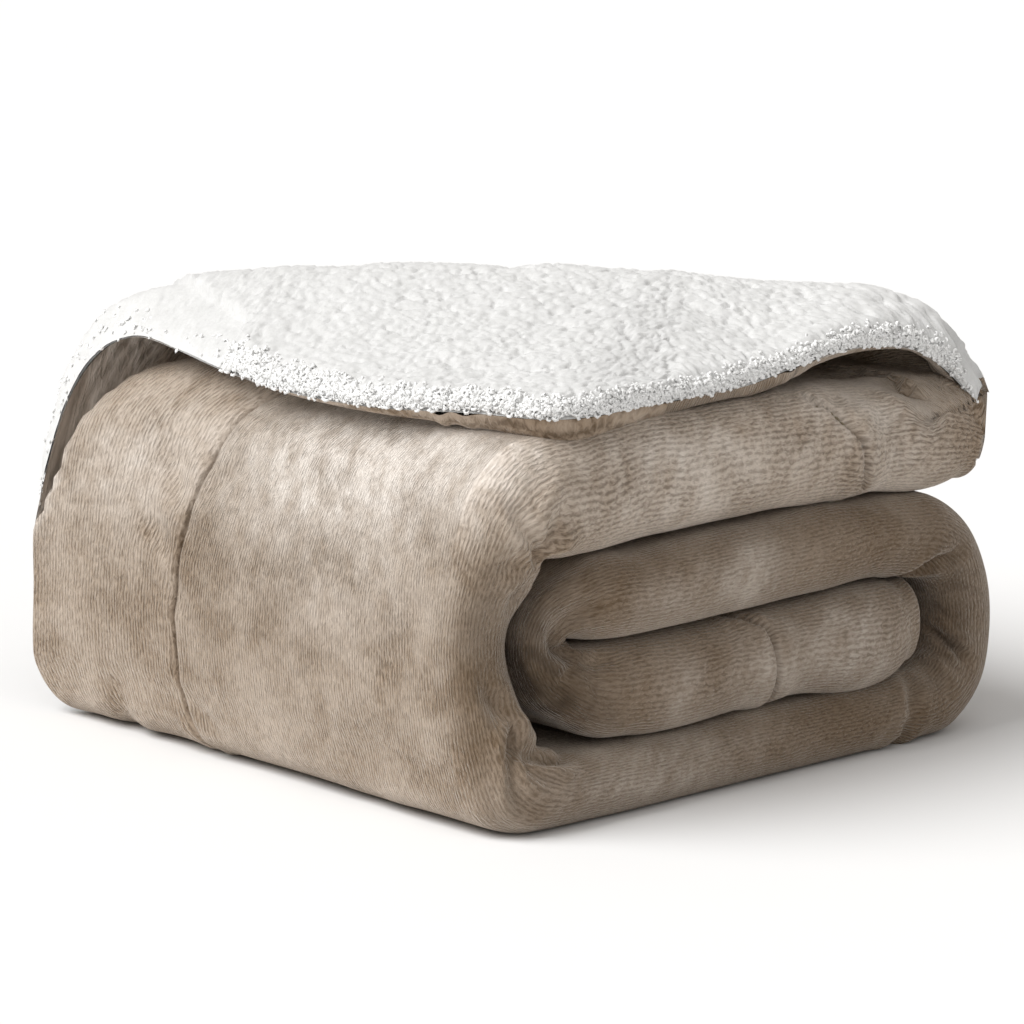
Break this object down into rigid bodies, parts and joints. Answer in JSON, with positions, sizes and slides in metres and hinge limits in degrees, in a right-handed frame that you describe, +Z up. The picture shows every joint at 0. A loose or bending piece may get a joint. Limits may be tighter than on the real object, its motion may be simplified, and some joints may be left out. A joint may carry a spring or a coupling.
{
  "type": "throw blanket",
  "caption": "Plush and sherpa throw blanket, folded in quarters and rolled flat, with one corner of the top layer turned down to show the curly lining.",
  "frame": {"origin": "on the resting surface, under the middle of the folded blanket", "axes": "+X along the roll towards its folded edges, +Y from the front panel to the back, +Z up"},
  "size_m": [0.3741, 0.3495, 0.2353],
  "materials": {
    "plush": "taupe ribbed flannel pile with a soft silvery sheen",
    "sherpa": "white curly long-pile fleece, matte"
  },
  "bodies": {
    "root": {"plush_face": "plush", "sherpa_backing": "sherpa"}
  },
  "joints": []
}
